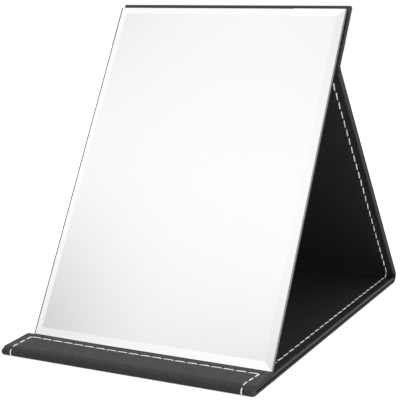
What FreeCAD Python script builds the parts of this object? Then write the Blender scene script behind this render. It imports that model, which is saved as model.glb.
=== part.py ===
"""A folding makeup mirror in a stitched leather easel case, standing open on its base.

Millimetres, +X to the mirror's right, +Y to the back, +Z up. The origin is the middle of the
part's footprint, on the surface that it stands on.
"""
import FreeCAD
import Part
import Sketcher
import os

doc = FreeCAD.newDocument("folding_mirror")

# Driving sizes, in millimetres and degrees
SIZES = {
    "glass_width": 140.0,
    "glass_height": 202.0,
    "glass_thickness": 2.4,
    "bevel_width": 4.5,
    "bevel_drop": 0.9,
    "coating_thickness": 0.1,
    "tape_thickness": 0.2,
    "tape_inset": 4.0,
    "backing_skin": 0.6,
    "backing_board_thickness": 0.8,
    "side_margin": 0.1,
    "top_margin": 1.2,
    "case_margin": 1.15,
    "skin_thickness": 0.8,
    "board_thickness": 1.2,
    "board_inset": 2.0,
    "edge_round": 0.7,
    "lip_depth": 25.0,
    "lip_height": 2.95,
    "lip_gap": 2.5,
    "nose_wall": 3.0,
    "nose_top_round": 2.9,
    "nose_bottom_round": 2.6,
    "spine_width": 3.0,
    "spine_lining_thickness": 0.6,
    "crease_clearance": 0.05,
    "strip_length": 38.0,
    "strip_overhang": 2.8,
    "lean_angle": 60.0,
    "back_angle": 49.0,
    "foot_clearance": 0.25,
    "strip_tape_thickness": 0.25,
    "strip_tape_inset": 3.0,
    "stitch_margin": 6.0,
    "lip_stitch_margin": 4.2,
    "lip_rear_margin": 5.2,
    "stitch_length": 4.8,
    "stitch_pitch": 6.0,
    "thread_width": 0.8,
    "groove_width": 1.1,
    "groove_depth": 0.45,
}

# Sizes and places that follow from the driving sizes. The foot is the lower front edge of the
# glass, the crease is the axis where the back panel hangs from the strip, the knee and the fold are
# the upper and lower axes of the spine, and a run_ is a distance in Y behind the foot.
LAYOUT = {
    "panel_thickness": "2 * Sizes.skin_thickness + Sizes.board_thickness",
    "bead_radius": "panel_thickness / 2",
    "panel_width": "Sizes.glass_width + 2 * Sizes.case_margin",
    "board_width": "panel_width - 2 * Sizes.board_inset",
    "end_gap": "bead_radius + Sizes.crease_clearance",
    "backing_thickness": "Sizes.backing_skin + Sizes.backing_board_thickness",
    "backing_width": "Sizes.glass_width + 2 * Sizes.side_margin",
    "backing_height": "Sizes.glass_height + Sizes.top_margin",
    "backing_front": "Sizes.glass_thickness + Sizes.coating_thickness + Sizes.tape_thickness",
    "backing_rear": "backing_front + backing_thickness",
    "crease_depth": "backing_rear + Sizes.strip_tape_thickness + bead_radius",
    "crease_height": "backing_height + Sizes.strip_overhang - Sizes.strip_length",
    "foot_z": "panel_thickness + Sizes.foot_clearance + backing_rear * cos(Sizes.lean_angle)",
    "crease_z": "foot_z + crease_height * sin(Sizes.lean_angle) - crease_depth * cos(Sizes.lean_angle)",
    "spine_turn": "90 - Sizes.back_angle / 2",
    "back_turn": "180 - Sizes.back_angle",
    "knee_z": "bead_radius + Sizes.spine_width * sin(spine_turn)",
    "back_length": "(crease_z - knee_z) / sin(Sizes.back_angle)",
    "run_crease": "crease_height * cos(Sizes.lean_angle) + crease_depth * sin(Sizes.lean_angle)",
    "run_knee": "run_crease + back_length * cos(Sizes.back_angle)",
    "lip_top_z": "panel_thickness + Sizes.lip_height",
    "run_lip": "(lip_top_z - foot_z) / tan(Sizes.lean_angle) - Sizes.lip_gap",
    "run_front": "run_lip - Sizes.lip_depth",
    "foot_y": "-(run_front + run_knee + bead_radius) / 2",
    "front_y": "foot_y + run_front",
    "crease_y": "foot_y + run_crease",
    "knee_y": "foot_y + run_knee",
    "fold_y": "knee_y - Sizes.spine_width * cos(spine_turn)",
    "base_length": "fold_y - end_gap - front_y",
    "stitch_x": "panel_width / 2 - Sizes.stitch_margin",
    "lip_stitch_x": "panel_width / 2 - Sizes.lip_stitch_margin",
}

# Where each sub-assembly's own frame lies: Y, Z and its turn about X. In a panel's frame Y runs along
# the panel, Z = 0 is its middle plane and +Z is the inner side.
FRAMES = {
    "base": ("Layout.front_y", "Layout.bead_radius", "0"),
    "spine": ("Layout.fold_y", "Layout.bead_radius", "Layout.spine_turn"),
    "back": ("Layout.knee_y", "Layout.knee_z", "Layout.back_turn"),
    "strip": ("Layout.crease_y", "Layout.crease_z", "Sizes.lean_angle"),
    "mirror": ("Layout.foot_y", "Layout.foot_z", "Sizes.lean_angle"),
}

OUTER = -1
INNER = 1
pieces = []


def fill_sheet(name, cells):
    """Writes one value per row of a new sheet and gives each cell its alias."""
    sheet = doc.addObject("Spreadsheet::Sheet", name)
    for row, (alias, value) in enumerate(cells.items(), start=1):
        sheet.set(f"A{row}", alias)
        sheet.setAlias(f"B{row}", alias)
        sheet.set(f"B{row}", value)
    doc.recompute()
    return sheet


sizes = fill_sheet("Sizes", {alias: str(value) for alias, value in SIZES.items()})
layout = fill_sheet("Layout", {alias: "=" + formula for alias, formula in LAYOUT.items()})


def bind(thing, **formulas):
    """Ties properties to the sheets; a double underscore in a name stands for a dot."""
    for name, formula in formulas.items():
        thing.setExpression(name.replace("__", "."), formula)


def seat(thing, frame):
    """Puts a piece into its sub-assembly's frame."""
    y, z, turn = FRAMES[frame]
    place = f"placement(vector(0; {y}; {z}); rotation(vector(1; 0; 0); {turn}))"
    thing.setExpression("Placement", place)


def new_body(label, frame):
    """Starts a piece as a body in its sub-assembly's frame."""
    body = doc.addObject("PartDesign::Body", label)
    body.Label = label
    seat(body, frame)
    pieces.append(body)
    return body


def plane(body, role):
    """One of the body's own origin planes."""
    return next(item for item in body.Origin.OriginFeatures if item.Role == role)


def solid(body, kind, role, place, **formulas):
    """Adds or cuts a primitive of the given kind, moved by place from one of the origin planes."""
    feature = body.newObject("PartDesign::" + kind, kind)
    feature.AttachmentSupport = (plane(body, role), "")
    feature.MapMode = "FlatFace"
    for axis, formula in zip("xyz", place):
        feature.setExpression("AttachmentOffset.Base." + axis, formula)
    bind(feature, **formulas)
    return feature


def block(body, kind, width, y_span, z_span):
    """A box centred on X, from y_span[0] to y_span[1] and from z_span[0] to z_span[1]."""
    place = (f"-({width}) / 2", y_span[0], z_span[0])
    length = f"({y_span[1]}) - ({y_span[0]})"
    height = f"({z_span[1]}) - ({z_span[0]})"
    return solid(body, kind, "XY_Plane", place, Length=width, Width=length, Height=height)


def board(label, frame, width, y_span, z_span):
    """A plain sheet of board, tape or coating."""
    body = new_body(label, frame)
    block(body, "AdditiveBox", width, y_span, z_span)
    return body


def bead(body, y):
    """The round of a leather crease, about the crease's axis."""
    place = (y, "0", "-Layout.panel_width / 2")
    solid(body, "AdditiveCylinder", "YZ_Plane", place, Radius="Layout.bead_radius", Height="Layout.panel_width")


def polygon(body, role, corners, start):
    """A closed outline of straight sides whose corners are tied to the sheets."""
    sketch = body.newObject("Sketcher::SketchObject", "Outline")
    sketch.AttachmentSupport = (plane(body, role), "")
    sketch.MapMode = "FlatFace"
    sketch.setExpression("AttachmentOffset.Base.z", start)
    points = [FreeCAD.Vector(*[number(body, part) for part in corner], 0) for corner in corners]
    for first, second in zip(points, points[1:] + points[:1]):
        sketch.addGeometry(Part.LineSegment(first, second), False)
    count = len(points)
    for index in range(count):
        sketch.addConstraint(Sketcher.Constraint("Coincident", index, 2, (index + 1) % count, 1))
    for index, corner in enumerate(corners):
        for kind, axis, part, value in zip(("DistanceX", "DistanceY"), (-2, -1), corner, points[index]):
            if part == "0":
                sketch.addConstraint(Sketcher.Constraint("PointOnObject", index, 1, axis))
                continue
            datum = sketch.addConstraint(Sketcher.Constraint(kind, -1, 1, index, 1, value))
            sketch.setExpression(f"Constraints[{datum}]", part)
    return sketch


def number(thing, formula):
    """The present value of a formula over the sheets."""
    value = thing.evalExpression(formula)
    return float(getattr(value, "Value", value))


def skin(body, side, y_span):
    """Half of a panel: a sheet with turned edges, a bed for the board and a groove for each stitch row."""
    half = "Layout.panel_width / 2"
    face = f"{side} * Layout.bead_radius"
    floor = f"{side} * (Layout.bead_radius - Sizes.groove_depth)"
    bed = f"{side} * Sizes.board_thickness / 2"
    groove = [
        ("-(Layout.stitch_x + Sizes.groove_width / 2)", face),
        ("-(Layout.stitch_x + Sizes.groove_width / 2)", floor),
        ("-(Layout.stitch_x - Sizes.groove_width / 2)", floor),
        ("-(Layout.stitch_x - Sizes.groove_width / 2)", face),
    ]
    far_groove = [(x[1:], z) for x, z in reversed(groove)]
    corners = [
        (f"-{half}", "0"),
        (f"-{half}", face),
        *groove,
        *far_groove,
        (half, face),
        (half, "0"),
        ("Layout.board_width / 2", "0"),
        ("Layout.board_width / 2", bed),
        ("-Layout.board_width / 2", bed),
        ("-Layout.board_width / 2", "0"),
    ]
    outline = polygon(body, "XZ_Plane", corners, f"-({y_span[0]})")
    pad = body.newObject("PartDesign::Pad", "Sheet")
    pad.Profile = outline
    pad.Reversed = True
    bind(pad, Length=f"({y_span[1]}) - ({y_span[0]})")
    doc.recompute()
    x_edge = number(body, half)
    z_edge = number(body, face)
    turned = edges_at(pad, lambda point: same(abs(point.x), x_edge) and same(point.z, z_edge))
    round_edges(body, pad, turned, "Sizes.edge_round")


def same(first, second):
    """True where two lengths agree to a thousandth of a millimetre."""
    return abs(first - second) < 0.001


def edges_at(feature, test):
    """Names of the edges whose two ends both pass the test."""
    named = enumerate(feature.Shape.Edges, start=1)
    return [f"Edge{index}" for index, edge in named if all(test(end.Point) for end in edge.Vertexes)]


def round_edges(body, feature, edges, radius):
    """Rounds the named edges of the body's latest feature."""
    fillet = body.newObject("PartDesign::Fillet", "Round")
    fillet.Base = (feature, edges)
    bind(fillet, Radius=radius)
    doc.recompute()
    return fillet


def panel(name, y_span, cover_start=None):
    """Cover, board and lining of one case panel, all in the frame of that name."""
    cover = new_body(f"{name}_cover", name)
    skin(cover, OUTER, (cover_start or y_span[0], y_span[1]))
    half_board = "Sizes.board_thickness / 2"
    board(f"{name}_board", name, "Layout.board_width", y_span, (f"-{half_board}", half_board))
    lining = new_body(f"{name}_lining", name)
    skin(lining, INNER, y_span)
    return cover


def base_panel():
    """The base: its cover turns up round the nose and back over the lip's board."""
    under_lip = ("Sizes.nose_wall", "Layout.base_length")
    lip_top = "Layout.bead_radius + Sizes.lip_height"
    cover = panel("base", under_lip)
    corners = [
        ("0", "-Layout.bead_radius"),
        ("0", lip_top),
        ("Sizes.lip_depth", lip_top),
        ("Sizes.lip_depth", "Layout.bead_radius"),
        ("Sizes.nose_wall", "Layout.bead_radius"),
        ("Sizes.nose_wall", "-Layout.bead_radius"),
    ]
    lip = cover.newObject("PartDesign::Pad", "Lip")
    lip.Profile = polygon(cover, "YZ_Plane", corners, "-Layout.panel_width / 2")
    bind(lip, Length="Layout.panel_width")
    doc.recompute()
    top_z = number(cover, lip_top)
    top_edge = edges_at(lip, lambda point: same(point.y, 0) and same(point.z, top_z))
    nose = round_edges(cover, lip, top_edge, "Sizes.nose_top_round")
    bottom_z = -number(cover, "Layout.bead_radius")
    bottom_edge = edges_at(nose, lambda point: same(point.y, 0) and same(point.z, bottom_z))
    round_edges(cover, nose, bottom_edge, "Sizes.nose_bottom_round")
    room_y = ("Sizes.nose_wall", "Sizes.lip_depth - Sizes.skin_thickness")
    room_z = ("Layout.bead_radius", f"{lip_top} - Sizes.skin_thickness")
    block(cover, "SubtractiveBox", "Layout.board_width", room_y, room_z)
    board("lip_board", "base", "Layout.board_width", room_y, room_z)


def spine():
    """The rear fold: a narrow leather strip with a round crease at each edge, lined on its inner side."""
    cover = new_body("spine_cover", "spine")
    floor = "Layout.bead_radius - Sizes.spine_lining_thickness"
    span = ("0", "Sizes.spine_width")
    block(cover, "AdditiveBox", "Layout.panel_width", span, ("-Layout.bead_radius", "Layout.bead_radius"))
    bead(cover, "0")
    bead(cover, "Sizes.spine_width")
    block(cover, "SubtractiveBox", "Layout.panel_width", span, (floor, "Layout.bead_radius"))
    board("spine_lining", "spine", "Layout.panel_width", span, (floor, "Layout.bead_radius"))


def mirror():
    """The bevelled glass with its coat, adhesive and leather-wrapped backing, from the front to the back."""
    glass = new_body("mirror_glass", "mirror")
    height = ("0", "Sizes.glass_height")
    back = "-Sizes.glass_thickness"
    block(glass, "AdditiveBox", "Sizes.glass_width", height, (back, "-Sizes.bevel_drop"))
    solid(
        glass, "AdditiveWedge", "XZ_Plane", ("0", "-Sizes.bevel_drop", "0"),
        Xmin="-Sizes.glass_width / 2", Xmax="Sizes.glass_width / 2", Ymin="0", Ymax="Sizes.bevel_drop",
        Zmin="-Sizes.glass_height", Zmax="0",
        X2min="-Sizes.glass_width / 2 + Sizes.bevel_width", X2max="Sizes.glass_width / 2 - Sizes.bevel_width",
        Z2min="-Sizes.glass_height + Sizes.bevel_width", Z2max="-Sizes.bevel_width",
    )
    coat_back = f"{back} - Sizes.coating_thickness"
    board("mirror_coating", "mirror", "Sizes.glass_width", height, (coat_back, back))
    tape_width = "Sizes.glass_width - 2 * Sizes.tape_inset"
    tape_height = ("Sizes.tape_inset", "Sizes.glass_height - Sizes.tape_inset")
    board("mirror_tape", "mirror", tape_width, tape_height, ("-Layout.backing_front", coat_back))
    room_width = "Layout.backing_width - 2 * Sizes.backing_skin"
    room_height = ("Sizes.backing_skin", "Layout.backing_height - Sizes.backing_skin")
    room_depth = ("-Layout.backing_rear + Sizes.backing_skin", "-Layout.backing_front")
    wrap = new_body("backing_cover", "mirror")
    wrap_height = ("0", "Layout.backing_height")
    block(wrap, "AdditiveBox", "Layout.backing_width", wrap_height, ("-Layout.backing_rear", "-Layout.backing_front"))
    block(wrap, "SubtractiveBox", room_width, room_height, room_depth)
    board("backing_board", "mirror", room_width, room_height, room_depth)


def strip():
    """The hinge strip behind the mirror's top; its cover turns round the crease that the back panel hangs from."""
    cover = panel("strip", ("Layout.end_gap", "Sizes.strip_length"), cover_start="0")
    bead(cover, "0")
    width = "Layout.backing_width - 2 * Sizes.strip_tape_inset"
    height = ("Layout.end_gap", "Sizes.strip_length - Sizes.strip_overhang - Sizes.strip_tape_inset")
    depth = ("Layout.bead_radius", "Layout.bead_radius + Sizes.strip_tape_thickness")
    board("strip_tape", "strip", width, height, depth)


def stitch(centre, along, side):
    """One visible stitch: a half-round length of thread, flat on the leather, humped towards side."""
    radius = sizes.thread_width / 2
    across = along.cross(FreeCAD.Vector(0, 0, side))
    start = centre - along * sizes.stitch_length / 2
    crown = start + FreeCAD.Vector(0, 0, side * radius)
    hump = Part.Arc(start - across * radius, crown, start + across * radius).toShape()
    seam = Part.LineSegment(start + across * radius, start - across * radius).toShape()
    return Part.Face(Part.Wire([hump, seam])).extrude(along * sizes.stitch_length)


def stitch_row(start, end, side):
    """Evenly pitched stitches from start to end on one face."""
    run = end - start
    along = FreeCAD.Vector(run).normalize()
    count = int(run.Length // sizes.stitch_pitch)
    slack = (run.Length - count * sizes.stitch_pitch) / 2
    steps = [slack + (index + 0.5) * sizes.stitch_pitch for index in range(count)]
    return [stitch(start + along * step, along, side) for step in steps]


def stitching(label, frame, stitches):
    """A node of separate stitches in one sub-assembly's frame."""
    row = doc.addObject("Part::Feature", label)
    row.Label = label
    row.Shape = Part.makeCompound(stitches)
    seat(row, frame)
    pieces.append(row)


def panel_stitches(name, y_span, sides):
    """The left and right topstitch rows of a panel, in their grooves."""
    floor = layout.bead_radius - sizes.groove_depth
    rows = {"left": [], "right": []}
    for hand, x in (("left", -layout.stitch_x), ("right", layout.stitch_x)):
        for side in sides:
            ends = [FreeCAD.Vector(x, y, side * floor) for y in y_span]
            rows[hand] += stitch_row(ends[0], ends[1], side)
    return rows


def all_stitches():
    """Topstitching of the base, lip, back panel and strip."""
    base_rows = panel_stitches("base", (sizes.lip_depth, layout.base_length), (INNER,))
    base_under = panel_stitches("base", (sizes.nose_wall, layout.base_length), (OUTER,))
    for hand in base_rows:
        stitching(f"base_stitches_{hand}", "base", base_rows[hand] + base_under[hand])
    back_span = (layout.end_gap, layout.back_length - layout.end_gap)
    for hand, stitches in panel_stitches("back", back_span, (INNER, OUTER)).items():
        stitching(f"back_stitches_{hand}", "back", stitches)
    strip_rows = panel_stitches("strip", (layout.end_gap, sizes.strip_length), (OUTER,))
    stitching("strip_stitches", "strip", strip_rows["left"] + strip_rows["right"])
    lip_z = layout.bead_radius + sizes.lip_height
    rear_y = sizes.lip_depth - sizes.lip_rear_margin
    rear_left = FreeCAD.Vector(-layout.lip_stitch_x, rear_y, lip_z)
    rear_right = FreeCAD.Vector(layout.lip_stitch_x, rear_y, lip_z)
    lip = stitch_row(rear_left, rear_right, INNER)
    for corner in (rear_left, rear_right):
        front = FreeCAD.Vector(corner.x, sizes.nose_top_round, lip_z)
        behind = corner - FreeCAD.Vector(0, sizes.thread_width, 0)
        lip += stitch_row(behind, front, INNER)
    stitching("lip_stitches", "base", lip)


base_panel()
spine()
panel("back", ("Layout.end_gap", "Layout.back_length - Layout.end_gap"))
strip()
mirror()
all_stitches()
doc.recompute()

failed = [item.Label for item in doc.Objects if {"Invalid", "Error"} & set(item.State)]
if failed:
    raise RuntimeError(f"these objects failed: {failed}")
for piece in pieces:
    if piece.Shape.isNull() or not piece.Shape.isValid():
        raise RuntimeError(f"{piece.Label} has no valid shape")

os.makedirs("parts", exist_ok=True)
for piece in pieces:
    piece.Shape.exportStep(f"parts/{piece.Label}.step")

for name in ("fold_y", "knee_y", "knee_z", "crease_y", "crease_z", "foot_y", "foot_z", "front_y", "back_length"):
    print(name, round(layout.get(name), 4))
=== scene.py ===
"""Looks of a folding makeup mirror: a bevelled glass that stands on a stitched black leather easel case."""

from __future__ import annotations

import logging
import math
from dataclasses import dataclass, field, replace
from enum import Enum
from typing import Any

import bpy
import numpy as np
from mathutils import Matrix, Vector


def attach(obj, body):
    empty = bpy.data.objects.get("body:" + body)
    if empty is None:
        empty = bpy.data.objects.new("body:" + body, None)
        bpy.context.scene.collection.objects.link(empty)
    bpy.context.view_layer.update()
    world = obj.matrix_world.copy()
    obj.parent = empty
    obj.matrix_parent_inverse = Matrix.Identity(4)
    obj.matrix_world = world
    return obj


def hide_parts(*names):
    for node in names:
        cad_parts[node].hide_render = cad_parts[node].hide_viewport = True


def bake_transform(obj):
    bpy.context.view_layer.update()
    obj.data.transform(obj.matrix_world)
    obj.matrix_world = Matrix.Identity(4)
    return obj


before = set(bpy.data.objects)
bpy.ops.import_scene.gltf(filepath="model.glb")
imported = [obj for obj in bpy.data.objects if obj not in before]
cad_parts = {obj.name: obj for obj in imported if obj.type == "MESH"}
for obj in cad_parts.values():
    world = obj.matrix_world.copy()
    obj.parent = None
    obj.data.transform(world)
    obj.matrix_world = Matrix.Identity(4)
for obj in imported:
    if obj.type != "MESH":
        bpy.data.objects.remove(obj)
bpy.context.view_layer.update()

LOG = logging.getLogger("folding_mirror")
MM = 0.001
Pair = tuple[float, float]
Point = tuple[float, float, float]
Material = bpy.types.Material
Piece = bpy.types.Object
Socket = bpy.types.NodeSocket
Tree = bpy.types.NodeTree


class Slot(Enum):
    """The record's material slots."""

    COVER = "cover_leather"
    LINING = "lining_leather"
    BOARD = "board"
    THREAD = "thread"
    ADHESIVE = "adhesive"
    SILVER = "silver"
    GLASS = "glass"


class Side(Enum):
    """The face of a panel that a leather leaf lies on: inside the folded case or outside it."""

    INNER = 1.0
    OUTER = -1.0


# Colour and nodes


def linear(hex_colour: str) -> tuple[float, float, float, float]:
    """Turns an sRGB hex colour into linear RGBA.

    Args:
        hex_colour: A colour such as "#1a1a1b".

    Returns:
        Red, green, blue and an alpha of 1, each channel through the sRGB curve.
    """
    channels = [int(hex_colour[i : i + 2], 16) / 255 for i in (1, 3, 5)]
    curve = [c / 12.92 if c <= 0.04045 else ((c + 0.055) / 1.055) ** 2.4 for c in channels]
    return (curve[0], curve[1], curve[2], 1.0)


def add_node(
    tree: Tree,
    kind: str,
    settings: dict[str, Any] | None = None,
    inputs: dict[str | int, Any] | None = None,
) -> bpy.types.Node:
    """Adds a node to a tree, with its settings, its input values and its links.

    Args:
        tree: The node tree.
        kind: The node's type name, without its prefix.
        settings: Properties of the node.
        inputs: Input sockets by name or number, each with a value or an output socket to link.

    Returns:
        The new node.
    """
    node = tree.nodes.new("ShaderNode" + kind)
    for name, value in (settings or {}).items():
        setattr(node, name, value)
    for name, value in (inputs or {}).items():
        if isinstance(value, Socket):
            tree.links.new(value, node.inputs[name])
        else:
            node.inputs[name].default_value = value
    return node


def blank_material(name: str) -> tuple[Material, Tree]:
    """Makes an empty node material.

    Args:
        name: The material's name.

    Returns:
        The material and its node tree, with no nodes.
    """
    material = bpy.data.materials.new(name)
    material.use_nodes = True
    material.node_tree.nodes.clear()
    return material, material.node_tree


# Finishes


@dataclass(frozen=True)
class Finish:
    """What the finishes share: two colours that a pattern mixes, a roughness, and a fine relief.

    The depth of the relief and the sizes of the patterns are in millimetres.
    """

    name: str
    low: str
    high: str
    roughness: float
    # The relief's strength and depth.
    strength: float = 0.0
    depth: float = 0.0

    def begin(self) -> tuple[Material, Tree, Socket]:
        """Starts the material, and gives it with its node tree and the Object coordinates."""
        material, tree = blank_material(self.name)
        return material, tree, add_node(tree, "TexCoord").outputs["Object"]

    def complete(
        self,
        tree: Tree,
        mix: Socket,
        inputs: dict[str, Any],
        height: Socket | None = None,
        invert: bool = False,
    ) -> None:
        """Mixes the two colours, raises the relief, and joins both to the shader and the output.

        Args:
            tree: The material's node tree.
            mix: The pattern that mixes the colours.
            inputs: What else the shader takes, besides the plain roughness.
            height: The pattern that raises the relief, if there is one.
            invert: Whether the relief is sunk where that pattern is high.
        """
        colours = {0: mix, 6: linear(self.low), 7: linear(self.high)}
        tone = add_node(tree, "Mix", {"data_type": "RGBA"}, colours)
        inputs = {"Base Color": tone.outputs[2], "Roughness": self.roughness} | inputs
        if height is not None:
            relief = {"Strength": self.strength, "Distance": self.depth * MM, "Height": height}
            inputs["Normal"] = add_node(tree, "Bump", {"invert": invert}, relief).outputs["Normal"]
        shader = add_node(tree, "BsdfPrincipled", None, inputs)
        add_node(tree, "OutputMaterial", None, {"Surface": shader.outputs["BSDF"]})


@dataclass(frozen=True)
class EmbossedLeather(Finish):
    """Black bonded leather, rolled with a fine pebble grain and a thin satin top coat.

    The coat gives the eye a near-black body with a grey sheen at low angles, broken up by the pebbles.
    """

    low: str = "#151516"
    high: str = "#1f1f20"
    roughness: float = 0.56
    strength: float = 0.55
    depth: float = 0.13
    specular: float = 0.42
    # A pebble is about 0.6 mm on the real leather, drawn at 1.3 mm so that it shows in the render.
    pebble: float = 1.3
    pore: float = 0.45
    cloud: float = 28.0
    # The pores' share in the grain, and how much smoother and rougher the grain makes the coat.
    pore_share: float = 0.45
    spread: Pair = (0.07, 0.1)

    def material(self) -> Material:
        """Builds the leather: pebbles from a cell pattern, pores from noise, and a slow change of colour.

        Returns:
            The material.
        """
        material, tree, place = self.begin()
        cell = {"Vector": place, "Scale": 1 / (self.pebble * MM), "Smoothness": 0.6, "Randomness": 0.9}
        cells = add_node(tree, "TexVoronoi", {"feature": "SMOOTH_F1"}, cell)
        fine = {"Vector": place, "Scale": 1 / (self.pore * MM), "Detail": 3.0, "Roughness": 0.6}
        pores = add_node(tree, "TexNoise", None, fine)
        slow = {"Vector": place, "Scale": 1 / (self.cloud * MM), "Detail": 4.0, "Roughness": 0.55}
        cloud = add_node(tree, "TexNoise", None, slow)
        both = {0: pores.outputs["Fac"], 1: self.pore_share, 2: cells.outputs["Distance"]}
        grain = add_node(tree, "Math", {"operation": "MULTIPLY_ADD"}, both).outputs[0]
        matt = {"To Min": self.roughness - self.spread[0], "To Max": self.roughness + self.spread[1]}
        gloss = add_node(tree, "MapRange", None, {"Value": grain, "From Min": 0.2} | matt)
        inputs = {"Roughness": gloss.outputs["Result"], "IOR": 1.5, "Specular IOR Level": self.specular}
        self.complete(tree, cloud.outputs["Fac"], inputs, grain, invert=True)
        return material


@dataclass(frozen=True)
class SilveredGlass(Finish):
    """Float glass silvered on its back: a clear, faintly cool mirror with a trace of polishing haze."""

    name: str = "silvered_float_glass"
    low: str = "#ffffff"
    high: str = "#fcfdfd"
    roughness: float = 0.012
    haze: float = 0.02
    cloud: float = 60.0

    def material(self) -> Material:
        """Builds the mirror: full metal reflection whose tint and haze change slowly over the pane.

        Returns:
            The material.
        """
        material, tree, place = self.begin()
        slow = {"Vector": place, "Scale": 1 / (self.cloud * MM), "Detail": 2.0}
        cloud = add_node(tree, "TexNoise", None, slow).outputs["Fac"]
        matt = {"Value": cloud, "To Min": self.roughness, "To Max": self.roughness + self.haze}
        haze = add_node(tree, "MapRange", None, matt)
        self.complete(tree, cloud, {"Metallic": 1.0, "Roughness": haze.outputs["Result"]})
        return material


@dataclass(frozen=True)
class GroundGlassEdge(Finish):
    """The pane's ground edge: grey-green matt glass, broken up by fine wheel marks."""

    name: str = "ground_glass_edge"
    low: str = "#5d6260"
    high: str = "#7b807e"
    roughness: float = 0.5
    strength: float = 0.3
    depth: float = 0.02
    mark: float = 0.8

    def material(self) -> Material:
        """Builds the edge: wheel marks from noise in the colour and the bump.

        Returns:
            The material.
        """
        material, tree, place = self.begin()
        fine = {"Vector": place, "Scale": 1 / (self.mark * MM), "Detail": 2.0}
        marks = add_node(tree, "TexNoise", None, fine).outputs["Fac"]
        self.complete(tree, marks, {"IOR": 1.52}, marks)
        return material


@dataclass(frozen=True)
class SpunThread(Finish):
    """White polyester sewing thread, spun of fine plies: pale and soft, a little uneven in its shade."""

    name: str = "spun_polyester_thread"
    low: str = "#e2e2e2"
    high: str = "#fbfbfb"
    roughness: float = 0.75
    strength: float = 0.4
    depth: float = 0.05
    # Real plies repeat every 0.4 mm, too fine to show, so bands this far apart shade the stitches unevenly.
    band: float = 8.8

    def material(self) -> Material:
        """Builds the thread: slow slanted bands in the colour and the bump.

        Returns:
            The material.
        """
        material, tree, place = self.begin()
        slanted = {"wave_type": "BANDS", "bands_direction": "DIAGONAL"}
        # The phase of slanted bands is 10 times the scale times x + y + z.
        slow = {"Vector": place, "Scale": 2 * math.pi / (10 * self.band * MM), "Distortion": 0.8}
        bands = add_node(tree, "TexWave", slanted, slow).outputs["Fac"]
        self.complete(tree, bands, {"Specular IOR Level": 0.25, "Sheen Weight": 0.2}, bands)
        return material


@dataclass(frozen=True)
class PressedStock(Finish):
    """Pressed or coated inner stock, such as grey board, tape or back paint: matt, mottled by fibres."""

    strength: float = 0.35
    depth: float = 0.04
    fibre: float = 1.8
    metallic: float = 0.0
    spread: float = 0.08

    def material(self) -> Material:
        """Builds the stock: fibres from noise in the colour, the roughness and the bump.

        Returns:
            The material.
        """
        material, tree, place = self.begin()
        fine = {"Vector": place, "Scale": 1 / (self.fibre * MM), "Detail": 5.0, "Roughness": 0.7}
        fibres = add_node(tree, "TexNoise", None, fine).outputs["Fac"]
        matt = {"To Min": self.roughness - self.spread, "To Max": self.roughness + self.spread}
        rough = add_node(tree, "MapRange", None, {"Value": fibres} | matt)
        inputs = {"Metallic": self.metallic, "Roughness": rough.outputs["Result"]}
        self.complete(tree, fibres, inputs, fibres)
        return material


@dataclass
class Finishes:
    """All the materials of the case: one for each slot, the glass edges, with a dark copy that paints shade
    on the pane's left edge, and a darker leather for the raw back, which also paints shade on the backing
    and the fold's lining.
    """

    by_slot: dict[Slot, Material] = field(default_factory=dict)
    glass_edges: list[Material] = field(default_factory=list)
    raw_back_and_shade: Material | None = None

    def build(self) -> Finishes:
        """Builds every material.

        Returns:
            This object, with its materials made.
        """
        smooth, paint = {"depth": 0.04, "specular": 0.6}, {"fibre": 1.2, "metallic": 0.3}
        finishes = {
            Slot.COVER: EmbossedLeather("embossed_leather_cover"),
            Slot.LINING: EmbossedLeather("smooth_leather_lining", "#161617", "#1e1e1f", 0.48, **smooth),
            Slot.BOARD: PressedStock("pressed_grey_board", "#77726a", "#97928a", 0.85),
            Slot.THREAD: SpunThread(),
            Slot.ADHESIVE: PressedStock("acrylic_mounting_tape", "#cfcabb", "#e2decf", 0.6, fibre=2.5),
            Slot.SILVER: PressedStock("mirror_back_paint", "#6f7274", "#8a8d8f", 0.5, **paint),
            Slot.GLASS: SilveredGlass(),
        }
        self.by_slot = {slot: finish.material() for slot, finish in finishes.items()}
        # Painted shade: a dark copy of the ground edge, for the dark leather that the pane's left edge
        # shows.
        dark_reflection = GroundGlassEdge("painted_dark_reflection_glass_edge", "#202323", "#303433", 0.6)
        self.glass_edges = [GroundGlassEdge().material(), dark_reflection.material()]
        # Painted shade: this darker, duller leather is the leaves' raw back, and it also darkens the backing
        # and the fold's lining where they lie in shade.
        back_and_shade = EmbossedLeather("raw_back_and_painted_shade_leather", "#101011", "#161617", 0.7, depth=0.03, specular=0.15)
        self.raw_back_and_shade = back_and_shade.material()
        return self


# Surfaces


@dataclass
class Surface:
    """A mesh in millimetres: its points, its faces, and each face's material number if it has several."""

    points: np.ndarray
    faces: list[list[int]]
    marks: list[int] | None = None

    def moved(self, points: np.ndarray) -> Surface:
        """Returns the same faces on other points."""
        return Surface(points, self.faces, self.marks)


def joined(*surfaces: Surface) -> Surface:
    """Joins surfaces into one mesh: the point numbers of each go up by the count of the points before it.

    Args:
        surfaces: The surfaces, in order.

    Returns:
        The one mesh.
    """
    starts = np.cumsum([0] + [len(surface.points) for surface in surfaces]).tolist()
    shifts = zip(surfaces, starts)
    faces = [[i + start for i in face] for surface, start in shifts for face in surface.faces]
    marks = [mark for surface in surfaces for mark in surface.marks or [0] * len(surface.faces)]
    return Surface(np.concatenate([surface.points for surface in surfaces]), faces, marks)


def sheet_faces(rows: int, columns: int, wrap: bool = False) -> np.ndarray:
    """Joins a grid of points into four-sided faces.

    Point (row, column) is number row * columns + column, and each face runs along the rows first.

    Args:
        rows: Points in the first direction.
        columns: Points in the second direction.
        wrap: Whether the last column joins the first.

    Returns:
        One line of four point numbers for each face.
    """
    last = columns if wrap else columns - 1
    row, column = np.meshgrid(np.arange(rows - 1), np.arange(last), indexing="ij")
    here, ahead, after = row * columns, (row + 1) * columns, (column + 1) % columns
    return np.stack([here + column, ahead + column, ahead + after, here + after], axis=-1).reshape(-1, 4)


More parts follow.
